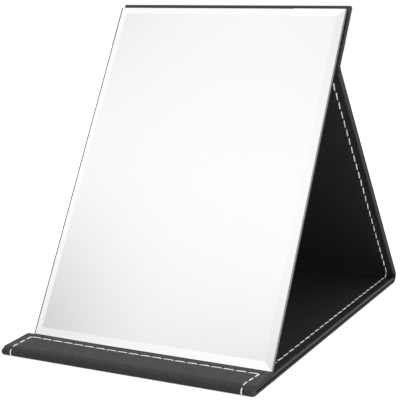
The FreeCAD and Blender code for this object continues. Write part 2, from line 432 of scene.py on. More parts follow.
def arc(centre: Pair, radii: Pair, start: float, end: float, count: int) -> np.ndarray:
    """Gives points on an ellipse: the centre plus each radius times the cosine or sine of an angle."""
    angle = np.radians(np.linspace(start, end, count))
    return np.stack([centre[0] + radii[0] * np.cos(angle), centre[1] + radii[1] * np.sin(angle)], axis=-1)


def straight(start: Point, end: Point, count: int = 40) -> np.ndarray:
    """Gives evenly spaced points from one point to another."""
    return np.linspace(np.array(start), np.array(end), count)


def span(centre: Pair, step: np.ndarray) -> tuple[Point, Point]:
    """Gives the points a step before and a step after a point of the side view, in metres."""
    before, after = (np.array(centre) - step) * MM, (np.array(centre) + step) * MM
    return (0.0, before[0], before[1]), (0.0, after[0], after[1])


@dataclass(frozen=True)
class Plane:
    """A panel's middle plane: where its local Y and Z axes lie in the side view of the object."""

    y: float
    z: float
    turn: float

    def place(self, points: np.ndarray) -> np.ndarray:
        """Turns local points about X and moves them to the object's frame.

        Args:
            points: Local points in millimetres.

        Returns:
            The points in the object's frame, in millimetres.
        """
        c, s = math.cos(math.radians(self.turn)), math.sin(math.radians(self.turn))
        y = self.y + points[:, 1] * c - points[:, 2] * s
        z = self.z + points[:, 1] * s + points[:, 2] * c
        return np.stack([points[:, 0], y, z], axis=-1)


# Spacing of a leaf's grid lines across and along it, and its closer lines at an edge and beside a row.
LEAF_STEPS = (7.0, 1.5)
EDGE_LINES = np.array([0, 0.02, 0.07, 0.15, 0.25, 0.4, 0.6, 0.85, 1.0, 1.1, 1.2, 1.7, 2.4, 3.2])
ROW_LINES = np.array([-1.2, -0.7, -0.45, -0.2, 0.0, 0.2, 0.45, 0.7, 1.2])
# Half the height of the wall at a leaf's outermost line, and the power that bows a rim's slope a little.
EDGE_WALL = 0.02
SLOPE_POWER = 1.1
# Half width of the groove that a row of stitches pulls in, how far it runs past the row's end, and the mean
# and the swing of its depth along the row.
GROOVE_HALF = 0.45
GROOVE_END = 0.4
GROOVE_WAVE = (0.75, 0.25)


@dataclass(frozen=True)
class Leaf:
    """A leather leaf on one face of a panel: its turned edges are rolled round, and tuck in to the seam.

    At a turned edge the upper face falls to the edge's outermost line, by a mix of a straight slope and a
    quarter ellipse, and the lower face runs back in from there by an ellipse. A crown stands just inside the
    edge: it rises from it by a mix of a straight line and a quarter sine, and dies away inwards by a cosine.
    A low roll lies between the edge and the stitches, and a groove along the stitches is deepest at the
    needle holes.
    """

    width: float
    start: float
    end: float
    turned_start: bool = False
    turned_end: bool = False
    end_row: bool = False
    thickness: float = 1.4
    edge_round: float = 0.6
    edge_height: float = 0.6
    slope: float = 0.0
    tuck: float = 0.4
    corner: float = 1.8
    seam: float = 0.16
    inset: float = 6.0
    groove: float = 0.2
    roll: float = 0.12
    # The crown's height at the leaf's start and end.
    crown: Pair = (0.0, 0.0)
    crown_fall: float = 2.4
    pitch: float = 7.0
    bed: float = 0.62
    bed_inset: float = 2.2

    def _lines(self, length: float, low: bool, high: bool, step: float) -> np.ndarray:
        """Spaces the grid lines of one direction, close together near a turned edge and its stitches.

        Args:
            length: The length to divide.
            low: Whether the edge at zero is turned.
            high: Whether the edge at the length is turned.
            step: The spacing between.

        Returns:
            Distances from zero to the length, rising.
        """
        near = np.concatenate([EDGE_LINES, self.inset + ROW_LINES])
        near = np.sort(near[near < length / 2])
        head = near if low else np.array([0.0])
        tail = length - near[::-1] if high else np.array([length])
        count = max(2, int(round((tail[0] - head[-1]) / step)) + 1)
        return np.concatenate([head, np.linspace(head[-1], tail[0], count)[1:-1], tail])

    def surface(self) -> Surface:
        """Works out the leaf as a closed slab over a grid, with its seam plane at height zero.

        Returns:
            The slab in local millimetres, facing up.
        """
        half, length = self.width / 2, self.end - self.start
        xs = self._lines(self.width, True, True, LEAF_STEPS[0]) - half
        ys = self._lines(length, self.turned_start, self.turned_end, LEAF_STEPS[1]) + self.start
        x, y = np.meshgrid(xs, ys, indexing="ij")
        # An end that isn't turned counts as endlessly far away.
        from_side = half - np.abs(x)
        from_start = y - self.start if self.turned_start else np.full_like(y, np.inf)
        from_stop = self.end - y if self.turned_end else np.full_like(y, np.inf)
        from_end = np.minimum(from_start, from_stop)
        towards_end = np.where(from_stop < from_start, 1.0, -1.0)
        # Square corners are drawn in to a quarter circle: concentric squares go to concentric arcs.
        a = np.clip(self.corner - from_side, 0, None)
        b = np.clip(self.corner - from_end, 0, None)
        largest = np.maximum(a, b)
        shrink = largest / np.maximum(np.hypot(a, b), 1e-9)
        in_corner = (a > 0) & (b > 0)
        x = np.where(in_corner, x - np.sign(x) * a * (1 - shrink), x)
        y = np.where(in_corner, y - towards_end * b * (1 - shrink), y)
        inset = np.where(in_corner, self.corner - largest, np.minimum(from_side, from_end))
        rising = np.clip(inset / self.edge_round, 0, 1)
        drop = 1 - rising
        fallen = self.slope * drop**SLOPE_POWER + (1 - self.slope) * (1 - np.sqrt(1 - drop**2))
        height = self.thickness - (self.thickness - self.edge_height - EDGE_WALL) * fallen
        height += self.roll * np.sin(np.pi * np.clip(inset / self.inset, 0, 1)) ** 2
        dying = np.clip((inset - self.edge_round) / self.crown_fall, 0, 1)
        along = np.clip((y - self.start) / length, 0, 1)
        crown = self.crown[0] + (self.crown[1] - self.crown[0]) * along
        height += crown * (rising + np.sin(np.pi / 2 * rising)) / 2 * (0.5 + 0.5 * np.cos(np.pi * dying))
        height -= self.groove * self._stitch_lines(x, y, half)
        bedded = from_side > self.bed_inset
        bedded &= (y > self.start + self.bed_inset) & (y < self.end - self.bed_inset)
        under = 1 - np.clip(inset / self.tuck, 0, 1)
        fall = self.edge_height - EDGE_WALL
        floor = np.where(bedded, self.bed, fall - (fall - self.seam) * np.sqrt(1 - under**2))
        points = np.concatenate([np.stack([x, y, z], axis=-1).reshape(-1, 3) for z in (height, floor)])
        top, count = sheet_faces(*x.shape), x.size
        number = np.arange(count).reshape(x.shape)
        loop = np.concatenate([number[:-1, 0], number[-1, :-1], number[:0:-1, -1], number[0, :0:-1]])
        after = np.roll(loop, -1)
        rim = np.stack([loop, loop + count, after + count, after], axis=-1)
        faces = np.concatenate([top, top[:, ::-1] + count, rim])
        # The under side is the leather's raw back.
        marks = [0] * len(top) + [1] * len(top) + [0] * len(rim)
        return Surface(points, faces.tolist(), marks)

    def _stitch_lines(self, x: np.ndarray, y: np.ndarray, half: float) -> np.ndarray:
        """Gives how far the thread pulls the leather in, from 0 to 1, along the side rows and the end row.

        Each row is a bell curve across the row, times a slow wave along it that peaks at the needle holes.

        Args:
            x: Points across the panel.
            y: Points along the panel.
            half: Half the panel's width.

        Returns:
            The pull at each point.
        """
        mean, swing = GROOVE_WAVE
        stop = self.end - self.inset if self.turned_end else self.end
        across = np.exp(-(((half - np.abs(x) - self.inset) / GROOVE_HALF) ** 2))
        wave = mean + swing * np.cos(2 * np.pi * (y - stop) / self.pitch)
        pull = across * wave * (y < stop + GROOVE_END)
        if self.end_row:
            along = np.exp(-(((self.end - y - self.inset) / GROOVE_HALF) ** 2))
            wave = mean + swing * np.cos(2 * np.pi * x / self.pitch)
            pull = np.maximum(pull, along * wave * (np.abs(x) < half - self.inset + GROOVE_END))
        return pull

    def laid(self, plane: Plane, side: Side) -> Surface:
        """Lays the leaf on the inner or the outer face of the panel with that middle plane."""
        local = self.surface()
        return local.moved(plane.place(local.points * np.array([side.value, 1.0, side.value])))


# The edges of a panel's two leaves: the cover is turned up round the board, and the lining lies in it with a
# sloped rim that catches the light. An open seam runs between them.
COVER_EDGE = {"edge_round": 0.35, "edge_height": -0.15, "tuck": 0.25, "seam": -0.42}
LINING_EDGE = {"edge_round": 1.2, "edge_height": 1.25, "slope": 0.85, "tuck": 0.4, "seam": 1.17}
BACK_LINING_EDGE = LINING_EDGE | {"edge_height": 0.68, "seam": 0.58}
# The strip's two leaves close tightly over its board's end, and the backing's leaf has a soft round edge.
STRIP_EDGE = {"edge_round": 0.5, "edge_height": -0.15, "tuck": 0.06, "corner": 0.6, "seam": -0.42}
STRIP_LINING_EDGE = STRIP_EDGE | {"edge_height": 0.78, "seam": 0.4}
BACKING_EDGE = {"edge_round": 0.7, "edge_height": 0.5, "tuck": 0.3, "corner": 1.2, "seam": 0.0}
# A leaf with no stitches of its own.
UNSTITCHED = {"groove": 0.0, "roll": 0.0}

# Sections on the quarter circle at each end of a carried profile.
END_SECTIONS = 9


def carried_profile(
    profile: np.ndarray,
    ends: Pair,
    end_rounds: Pair,
    step: float,
    shares: tuple[float | np.ndarray, float | np.ndarray] = (1.0, 1.0),
) -> Surface:
    """Carries a closed profile along X and draws it in by a quarter circle at both ends.

    Args:
        profile: Points (y, z) of the profile, anticlockwise seen from +X.
        ends: The lowest and the highest X.
        end_rounds: Radius of the quarter circle at the low and the high end.
        step: Spacing of the sections between the ends.
        shares: How much of the drawing in each point takes at the low and the high end, from 0 to 1.

    Returns:
        The closed bar in the object's frame.
    """
    along = np.roll(profile, -1, axis=0) - np.roll(profile, 1, axis=0)
    outward = np.stack([along[:, 1], -along[:, 0]], axis=-1)
    outward /= np.linalg.norm(outward, axis=1, keepdims=True)
    angle = np.radians(np.linspace(0, 90, END_SECTIONS))
    inward, pull = 1 - np.cos(angle), 1 - np.sin(angle)
    low, high = ends[0] + end_rounds[0] * inward, ends[1] - end_rounds[1] * inward[::-1]
    inner = np.linspace(low[-1], high[0], max(3, int((ends[1] - ends[0]) / step)))[1:-1]
    stations = np.concatenate([low, inner, high])
    columns = len(profile)
    first = np.outer(end_rounds[0] * pull, np.broadcast_to(shares[0], columns))
    last = np.outer(end_rounds[1] * pull[::-1], np.broadcast_to(shares[1], columns))
    draws = np.concatenate([first, np.zeros((len(inner), columns)), last])
    section = profile[None, :, :] - draws[:, :, None] * outward[None, :, :]
    across = np.broadcast_to(stations[:, None, None], section.shape[:2] + (1,))
    points = np.concatenate([across, section], axis=-1).reshape(-1, 3)
    faces = sheet_faces(len(stations), columns, wrap=True)[:, ::-1].tolist()
    low_cap = np.arange(columns)[::-1].tolist()
    high_cap = np.arange(len(points) - columns, len(points)).tolist()
    return Surface(points, faces + [low_cap, high_cap])


@dataclass(frozen=True)
class StitchRun:
    """A row of lockstitches along a path: short thread bars that bow up and dive in at both ends.

    The rise, the dive, the narrowing of the ends and the flattening are shares of the thread's radius.
    """

    pitch: float = 7.0
    length: float = 6.0
    radius: float = 0.31
    slant: float = 0.07
    rise: float = 0.55
    dive: float = 0.85
    narrow: float = 0.7
    flat: float = 0.85
    stations: int = 9
    sides: int = 6

    def surface(self, path: np.ndarray, up: np.ndarray) -> Surface:
        """Lays the stitches along a path, evenly spaced from end to end.

        A stitch is a ring carried along its piece of the path, where t runs from -1 to 1. Its centre rises
        with 1 - t^6 and drifts sideways with t, and its ring narrows towards both ends with t^8.

        Args:
            path: Points on the leather, in millimetres.
            up: The leather's outward direction at each point.

        Returns:
            All the stitches of the row.
        """
        steps = np.linalg.norm(np.diff(path, axis=0), axis=1)
        distance = np.concatenate([[0.0], np.cumsum(steps)])
        total = distance[-1]
        count = max(1, int(round((total - self.length) / self.pitch)) + 1)
        middle = np.array([total / 2])
        if count > 1:
            middle = np.linspace(self.length / 2, total - self.length / 2, count)
        t = np.sin(np.linspace(-np.pi / 2, np.pi / 2, self.stations))
        at = middle[:, None] + t[None, :] * min(self.length, total) / 2
        centre, forward, out = (
            np.stack([np.interp(at, distance, along[:, axis]) for axis in range(3)], axis=-1)
            for along in (path, np.gradient(path, distance, axis=0), up)
        )
        forward = forward / np.linalg.norm(forward, axis=-1, keepdims=True)
        sideways = np.cross(forward, out)
        lift = (self.radius * self.rise * (1 - t**6) - self.radius * self.dive * t**6)[None, :, None]
        drift = (self.slant * t * self.length / 2)[None, :, None]
        centre = centre + out * lift + sideways * drift
        ring = np.linspace(0, 2 * np.pi, self.sides, endpoint=False)
        swell = (self.radius * np.sqrt(1 - self.narrow * t**8))[None, :, None, None]
        around = sideways[:, :, None, :] * np.cos(ring)[None, None, :, None]
        around = around + self.flat * out[:, :, None, :] * np.sin(ring)[None, None, :, None]
        points = (centre[:, :, None, :] + swell * around).reshape(-1, 3)
        block = self.stations * self.sides
        quads = sheet_faces(self.stations, self.sides, wrap=True)
        shift = (np.arange(count) * block)[:, None, None]
        walls = (quads[None] + shift).reshape(-1, 4).tolist()
        head = (np.arange(self.sides)[None] + shift[:, 0]).tolist()
        tail = (np.arange(self.sides)[::-1][None] + block - self.sides + shift[:, 0]).tolist()
        return Surface(points, walls + head + tail)

    def on(self, plane: Plane, start: Point, end: Point, side: Side) -> Surface:
        """Lays a straight row of stitches on a panel.

        Args:
            plane: The panel's middle plane.
            start: The row's first local point.
            end: The row's last local point.
            side: The face that the row is on.

        Returns:
            The row in the object's frame.
        """
        path = plane.place(straight(start, end))
        out = plane.place(np.array([[0.0, 0.0, side.value]])) - plane.place(np.zeros((1, 3)))
        return self.surface(path, np.repeat(out, len(path), axis=0))


# Pieces


@dataclass
class CaseSizes:
    """Sizes that the case's panels share, in millimetres and degrees."""

    panel_width: float = 142.3
    proud: float = 0.5
    panel: float = 2.8
    end_gap: float = 1.45
    # How far a row of stitches is sunk, how much further on the underside, so that the base stands flat, and
    # the gaps from a row's end to the rear fold, and to the lip or the crease.
    sunk: float = 0.2
    low_sunk: float = 0.33
    fold_gap: float = 0.4
    row_gap: float = 0.6
    # The slope of the mirror and of the back panel, the rear fold's outer radius, and the linings' crowns.
    lean: float = 60.0
    back: float = 49.0
    fold_radius: float = 4.4
    base_crown: float = 0.72
    back_crown: float = 0.2
    # The front edge, and the places (y, z) of the rear fold, the crease and the mirror's foot.
    front_y: float = -121.1615
    knee: Pair = (119.7615, 4.1299)
    crease: Pair = (-5.0571, 147.7173)
    foot: Pair = (-94.0368, 5.1)

    @property
    def width(self) -> float:
        """The leather's width: the turned edges stand a little proud of the panel."""
        return self.panel_width + 2 * self.proud

    @property
    def thread_height(self) -> float:
        """The height of the stitch rows over a panel's middle plane."""
        return self.panel / 2 - self.sunk

    def row_reach(self, inset: float) -> float:
        """Gives the distance from the panel's middle to a side row."""
        return self.panel_width / 2 - inset

    @property
    def base_plane(self) -> Plane:
        """The base's middle plane, from its front edge."""
        return Plane(self.front_y, self.panel / 2, 0.0)

    @property
    def back_plane(self) -> Plane:
        """The back panel's middle plane, from the rear fold up."""
        return Plane(self.knee[0], self.knee[1], 180.0 - self.back)

    @property
    def strip_plane(self) -> Plane:
        """The hinge strip's middle plane, from the crease up."""
        return Plane(self.crease[0], self.crease[1], self.lean)

    @property
    def mirror_plane(self) -> Plane:
        """The mirror's front plane, from its foot up."""
        return Plane(self.foot[0], self.foot[1], self.lean)

    @property
    def fold_centre(self) -> Pair:
        """The middle of the fold's curve, which touches the base's underside and the back panel's outside.

        Returns:
            Its place (y, z) in the side view.
        """
        slope = math.radians(self.back)
        outside_y = self.knee[0] + self.panel / 2 * math.sin(slope)
        outside_z = self.knee[1] + self.panel / 2 * math.cos(slope)
        reach = self.fold_radius / math.tan(slope / 2)
        return (outside_y + outside_z / math.tan(slope) - reach, self.fold_radius)

    @property
    def base_length(self) -> float:
        """The base's flat length, from its front edge to where the fold's curve starts."""
        return self.fold_centre[0] - self.front_y

    @property
    def back_start(self) -> float:
        """The distance up the back panel from the knee to where the fold's curve ends.

        Returns:
            The distance in millimetres.
        """
        slope = math.radians(self.back)
        y, z = self.fold_centre[0] - self.knee[0], self.fold_centre[1] - self.knee[1]
        return -y * math.cos(slope) + z * math.sin(slope)

    @property
    def back_length(self) -> float:
        """The distance from the knee to the crease."""
        return math.hypot(self.knee[0] - self.crease[0], self.knee[1] - self.crease[1])


def fix_piece(piece: Piece, body: str, node: str) -> None:
    """Makes a piece move with a body, in place of the CAD node that it stands for."""
    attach(piece, body)
    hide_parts(node)


@dataclass
class CasePart:
    """What the sub-assemblies share: the case's sizes and its finishes."""

    sizes: CaseSizes
    finishes: Finishes

    def make(self, name: str, surface: Surface, slot: Slot, sharp: float = 50.0) -> Piece:
        """Makes a mesh object from a surface, smooth apart from its sharp edges, and gives it its finish.

        Args:
            name: The piece's name.
            surface: The piece's mesh in millimetres.
            slot: The record's slot for its finish.
            sharp: Edges that turn by more than this many degrees stay sharp.

        Returns:
            The new object, at the origin.
        """
        mesh = bpy.data.meshes.new(name)
        mesh.from_pydata((surface.points * MM).tolist(), [], surface.faces)
        mesh.update()
        mesh.shade_smooth()
        mesh.set_sharp_from_angle(angle=math.radians(sharp))
        mesh.materials.append(self.finishes.by_slot[slot])
        if surface.marks and any(surface.marks):
            for material in self.finishes.glass_edges if slot is Slot.GLASS else [self.finishes.raw_back_and_shade]:
                mesh.materials.append(material)
            mesh.polygons.foreach_set("material_index", np.array(surface.marks, dtype=np.int32))
        piece = bpy.data.objects.new(name, mesh)
        bpy.context.scene.collection.objects.link(piece)
        LOG.info("%s: %d faces", name, len(surface.faces))
        return piece


@dataclass
class Base(CasePart):
    """The base: a leather panel on the table, wrapped in front over a raised lip that stops the mirror."""

    # The hidden wall behind the nose, its turn at the foot and the heights of its points.
    nose_wall: float = 4.6
    nose_turn: float = 1.2
    wall_levels: Pair = (1.6, 2.1)
    # The gap under the lip, and how far ahead of its rear edge the points of its hidden sole lie.
    lip_gap: float = 0.03
    sole_insets: Pair = (8.0, 0.2)
    leaf_start: float = 2.8
    lip_depth: float = 24.5
    lip_top: float = 5.52
    lip_front: float = 5.34
    lip_ends: Pair = (-73.1, 71.5)
    # Where the lip starts to grow deeper towards its left end, and by what share.
    flare_from: float = -20.0
    flare: float = 0.075
    # Where the lip's left end starts to sag towards its front, and by how much.
    sag_from: float = -68.0
    sag: float = 1.1
    # The nose's foremost line, and its reach behind that line above and below.
    nose_level: float = 2.7
    nose_reach: Pair = (5.2, 3.2)
    rear_round: float = 0.9
    # Points on the profile's curves: the rear edge, the top, each quarter of the nose, and the wall's turn.
    rear_points: int = 7
    top_points: int = 60
    nose_points: int = 19
    turn_points: int = 6
    # The swell between the lip's rear edge and its stitches, and half the width of their groove.
    lip_crown: float = 0.1
    lip_groove: float = 0.5
    # The round of the lip's left and right end, and the share of it that the top and the nose's foot take.
    end_rounds: Pair = (1.6, 0.8)
    end_shares: tuple[Pair, Pair] = ((0.15, 0.7), (0.45, 0.4))
    # The spacing of the sections along the lip and its plies.
    lip_section: float = 2.0
    row_inset: float = 6.5
    side_run: StitchRun = StitchRun(7.95, 6.7)
    low_row_start: float = 4.0
    # The lip's rows: along its rear edge, and from there over the nose, where each end drifts inwards.
    lip_row_inset: float = 4.2
    lip_row_drift: Pair = (0.3, 1.3)
    lip_rear_inset: float = 5.3
    rear_run: StitchRun = StitchRun(6.75, 6.4, 0.28, -0.07)
    nose_run: StitchRun = StitchRun(6.0, 4.8, 0.29, 0.03)
    nose_sunk: float = 0.1
    nose_row_end: float = 236.0
    # Points on the rear row's path, and on an end row's over the top and each quarter of the nose.
    rear_row_points: int = 80
    end_row_points: tuple[int, int] = (30, 15)
    # Height and half thickness of each rolled ply at the lip's ends, and where it starts behind the nose.
    plies: tuple[Point, ...] = ((3.55, 0.62, 1.9), (4.86, 0.56, 3.4))
    ply_reach: float = 0.8
    ply_proud: float = 0.42
    ply_round: float = 0.58
    ply_gap: float = 0.35
    ply_points: int = 24

    @property
    def lip_rear(self) -> float:
        """The distance from the front to where the lip's rear edge starts to round."""
        return self.lip_depth - self.rear_round

    def lip_height(self, y: np.ndarray) -> np.ndarray:
        """Gives the lip's top at distances from the front: it falls towards the nose by a power of 1.5."""
        share = np.clip((self.lip_rear - y) / (self.lip_rear - self.nose_reach[0]), 0, 1)
        return self.lip_top - (self.lip_top - self.lip_front) * share**1.5

    def nose(self, sunk: float, last: float, count: int) -> np.ndarray:
        """Gives the nose's line from the lip's top to its underside: a quarter ellipse above and one below.

        Args:
            sunk: How far the line lies under the leather.
            last: The angle in degrees at which the line ends, 270 at the table.
            count: Points on each quarter.

        Returns:
            Points (y, z), with y from the front.
        """
        over, under = self.nose_reach
        upper = (over - sunk, self.lip_front - self.nose_level - sunk)
        lower = (under - sunk, self.nose_level - sunk)
        top = arc((over, self.nose_level), upper, 90, 180, count)
        low = arc((under, self.nose_level), lower, 180, last, count)
        return np.concatenate([top, low[1:]])

    def lip_profile(self) -> tuple[np.ndarray, tuple[np.ndarray, np.ndarray]]:
        """Gives the lip's side profile: a round nose, a top with the stitch groove, and a rolled rear edge.

        Returns:
            Points (y, z) in the object's frame, anticlockwise seen from +X, and how far each is drawn in at
            the left and the right end, from 0 to 1.
        """
        back, under = self.lip_depth, self.sizes.panel + self.lip_gap
        top = np.linspace(self.lip_rear, self.nose_reach[0], self.top_points)
        dip = self.sizes.sunk * np.exp(-(((top - back + self.lip_rear_inset) / self.lip_groove) ** 2))
        crown = self.lip_crown * np.sin(np.pi * np.clip((back - top) / self.lip_rear_inset, 0, 1)) ** 2
        top_line = np.stack([top, self.lip_height(top) + crown - dip], axis=-1)
        radii = (self.rear_round, self.rear_round)
        rear = arc((self.lip_rear, self.lip_top - self.rear_round), radii, 0, 90, self.rear_points)
        nose = self.nose(0.0, 270, self.nose_points)
        wall, turn = self.nose_wall, self.nose_turn
        foot = arc((wall - turn, turn), (turn, turn), 270, 360, self.turn_points)
        # Of the hidden points, only those on the wall are drawn in.
        on_wall = [(wall, level) for level in self.wall_levels]
        on_sole = [(wall, under)] + [(back - inset, under) for inset in self.sole_insets]
        left, right = (
            np.concatenate(
                [
                    np.full(len(rear) + len(top_line) - 2, top_share),
                    np.linspace(top_share, 1.0, self.nose_points),
                    np.linspace(1.0, foot_share, self.nose_points - 1),
                    np.full(len(foot) + len(on_wall), foot_share),
                    np.zeros(len(on_sole)),
                ]
            )
            for top_share, foot_share in self.end_shares
        )
        profile = np.concatenate([rear, top_line[1:-1], nose, foot, on_wall, on_sole])
        return profile + np.array([self.sizes.front_y, 0.0]), (left, right)

    def flared(self, surface: Surface) -> Surface:
        """Shapes the lip's left end: it grows deeper, and its front corner sags.

        Each distance from the front grows by a straight ramp along X, and each height falls by the square
        of a second ramp along X times the share of the depth left behind it.

        Args:
            surface: The lip or its stitches.

        Returns:
            The shaped surface.
        """
        across, height, left = surface.points[:, 0], surface.points[:, 2], self.lip_ends[0]
        depth = surface.points[:, 1] - self.sizes.front_y
        ramp = np.clip((self.flare_from - across) / (self.flare_from - left), 0, 1)
        edge = np.clip((self.sag_from - across) / (self.sag_from - left), 0, 1)
        fall = self.sag * edge**2 * np.clip(1 - depth / self.lip_depth, 0, 1)
        back = self.sizes.front_y + depth * (1 + self.flare * ramp)
        return surface.moved(np.stack([across, back, height * (1 - fall / self.lip_top)], axis=-1))

    def lip_plies(self) -> Surface:
        """Builds the rolled plies at the lip's two ends: each is an ellipse carried along Y to the rear.

        Returns:
            The plies in the object's frame.
        """
        front, parts = self.sizes.front_y, []
        last = 360 - 360 / self.ply_points
        for end in self.lip_ends:
            for height, half, start in self.plies:
                middle = end - math.copysign(self.ply_reach - self.ply_proud, end)
                profile = arc((middle, height), (self.ply_reach, half), 0, last, self.ply_points)
                reach = (front + start, front + self.lip_depth - self.ply_gap)
                bar = carried_profile(profile, reach, (self.ply_round, self.ply_round), self.lip_section)
                parts.append(Surface(bar.points[:, [1, 0, 2]], [face[::-1] for face in bar.faces]))
        return joined(*parts)

    def leaf(self, edge: dict[str, float]) -> Leaf:
        """Gives the base's leaf with a certain edge."""
        rows = {"inset": self.row_inset, "pitch": self.side_run.pitch, "roll": 0.0}
        return Leaf(self.sizes.width, self.leaf_start, self.sizes.base_length, True, **rows, **edge)

    def cover(self) -> None:
        """Builds the cover: the underside leaf and the lip that it wraps over."""
        under = self.leaf(COVER_EDGE).laid(self.sizes.base_plane, Side.OUTER)
        profile, shares = self.lip_profile()
        lip = carried_profile(profile, self.lip_ends, self.end_rounds, self.lip_section, shares)
        surface = joined(under, self.flared(joined(lip, self.lip_plies())))
        fix_piece(self.make("base_leather_with_lip", surface, Slot.COVER), "base", "base_cover")

    def lining(self) -> None:
        """Builds the lining leaf on the base's upper face."""
        crown = (self.sizes.base_crown, self.sizes.base_crown)
        surface = replace(self.leaf(LINING_EDGE), crown=crown).laid(self.sizes.base_plane, Side.INNER)
        fix_piece(self.make("base_leather_lining", surface, Slot.LINING), "base", "base_lining")

    def side_threads(self) -> None:
        """Builds the rows along the base's two long sides, on its upper and lower face."""
        plane, rear = self.sizes.base_plane, self.sizes.base_length - self.sizes.fold_gap
        high = self.sizes.thread_height
        low, reach = self.sizes.low_sunk - high, self.sizes.row_reach(self.row_inset)
        for name, x in (("left", -reach), ("right", reach)):
            first = (x, self.lip_depth + self.sizes.row_gap, high)
            inner = self.side_run.on(plane, first, (x, rear, high), Side.INNER)
            outer = self.side_run.on(plane, (x, self.low_row_start, low), (x, rear, low), Side.OUTER)
            piece = self.make(f"base_thread_{name}", joined(inner, outer), Slot.THREAD)
            fix_piece(piece, "base", f"base_stitches_{name}")

    def lip_threads(self) -> None:
        """Builds the lip's rows: along its rear edge, and from there over the rounded nose at both ends."""
        front, rear = self.sizes.front_y, self.lip_depth - self.lip_rear_inset
        x = self.sizes.row_reach(self.lip_row_inset)
        level = self.lip_height(np.array(rear)) - self.sizes.sunk
        path = straight((-x, front + rear, level), (x, front + rear, level), self.rear_row_points)
        rows = [self.rear_run.surface(path, np.tile([0.0, 0.0, 1.0], (len(path), 1)))]
        over_top, over_nose = self.end_row_points
        y = np.linspace(rear, self.nose_reach[0], over_top)
        top = np.stack([y, self.lip_height(y) - self.nose_sunk], axis=-1)
        line = np.concatenate([top[:-1], self.nose(self.nose_sunk, self.nose_row_end, over_nose)])
        heading = np.gradient(line, axis=0)
        normal = np.stack([np.zeros(len(line)), heading[:, 1], -heading[:, 0]], axis=-1)
        normal /= np.linalg.norm(normal, axis=1, keepdims=True)
        inward = np.clip((rear - line[:, 0]) / (rear - self.nose_reach[0]), 0, 1)
        for side, drift in zip((-1.0, 1.0), self.lip_row_drift):
            path = np.stack([side * (x - drift * inward), front + line[:, 0], line[:, 1]], axis=-1)
            rows.append(self.nose_run.surface(path, normal))
        fix_piece(self.make("lip_thread", self.flared(joined(*rows)), Slot.THREAD), "base", "lip_stitches")

    def build(self) -> None:
        """Builds all the base's pieces."""
        self.cover()
        self.lining()
        self.side_threads()
        self.lip_threads()


@dataclass
class RearFold(CasePart):
    """The rear fold: the leather bends in one round curve from the base into the back panel."""

    row_inset: float = 6.0
    # The longest stitch over the fold, and the most of the bend that it takes up.
    stitch: float = 5.5
    stitch_share: float = 0.86

    @property
    def radius(self) -> float:
        """The radius of the bend at the middle of the leather."""
        return self.sizes.fold_radius - self.sizes.panel / 2

    @property
    def turn(self) -> float:
        """The angle of the bend in degrees."""
        return 180.0 - self.sizes.back

    @property
    def length(self) -> float:
        """The length along the bend at the middle of the leather."""
        return self.radius * math.radians(self.turn)

    def bent(self, points: np.ndarray, side: Side) -> np.ndarray:
        """Bends flat points round the fold: distance along becomes angle, and height becomes radius.

        Args:
            points: Flat points, with the height over the leather's middle.
            side: The inner or the outer face of the bend.

        Returns:
            The bent points in the object's frame.
        """
        y, z = self.sizes.fold_centre
        angle = np.radians(-90 + self.turn * points[:, 1] / self.length)
        radius = self.radius - side.value * points[:, 2]
        across = points[:, 0] * side.value
        return np.stack([across, y + radius * np.cos(angle), z + radius * np.sin(angle)], axis=-1)

    def blend(self, piece: Piece, radius: float) -> None:
        """Bakes a piece's place into its mesh, leaving its shape as it is.

        Args:
            piece: The piece.
            radius: Not used.
        """
        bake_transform(piece)

    def leaf(self, side: Side) -> Surface:
        """Builds one leaf of the fold.

        Args:
            side: The inner or the outer face of the bend.

        Returns:
            The leaf in the object's frame.
        """
        length = self.length
        leaf = Leaf(self.sizes.width, 0.0, length, inset=self.row_inset, roll=0.0, bed_inset=length)
        if side is Side.INNER:
            leaf = replace(leaf, crown=(self.sizes.base_crown, self.sizes.back_crown), **LINING_EDGE)
        else:
            leaf = replace(leaf, **COVER_EDGE)
        local = leaf.surface()
        return local.moved(self.bent(local.points, side))

    def threads(self, side: Side) -> Surface:
        """Lays the stitches that cross the fold, one short row at each end.

        Args:
            side: The inner or the outer face of the bend.

        Returns:
            The stitches in the object's frame.
        """
        level = self.sizes.thread_height - (self.sizes.low_sunk if side is Side.OUTER else 0.0)
        face = self.radius - side.value * level
        run = StitchRun(length=min(self.stitch, self.stitch_share * face * math.radians(self.turn)))
        x, rows = self.sizes.row_reach(self.row_inset), []
        for edge in (-x, x):
            flat = straight((edge * side.value, 0.0, level), (edge * side.value, self.length, level))
            path = self.bent(flat, side)
            up = (path - np.array([edge, *self.sizes.fold_centre])) * -side.value
            rows.append(run.surface(path, up / np.linalg.norm(up, axis=1, keepdims=True)))
        return joined(*rows)

    def build(self) -> None:
        """Builds the outer and the inner leaf of the fold, and the stitches that cross it."""
        inside = self.radius - self.sizes.panel / 2
        outer = self.make("fold_leather", self.leaf(Side.OUTER), Slot.COVER)
        self.blend(outer, self.radius)
        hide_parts("spine_cover")
        inner = self.make("fold_leather_lining", self.leaf(Side.INNER), Slot.LINING)
        # Painted shade: the fold's lining takes the darker raw-back leather, which darkens the crease; its
        # duller coat also softens the highlight there.
        inner.data.materials[0] = self.finishes.raw_back_and_shade
        self.blend(inner, inside)
        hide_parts("spine_lining")
        self.blend(self.make("fold_thread_outer", self.threads(Side.OUTER), Slot.THREAD), self.radius)
        self.blend(self.make("fold_thread_inner", self.threads(Side.INNER), Slot.THREAD), inside)


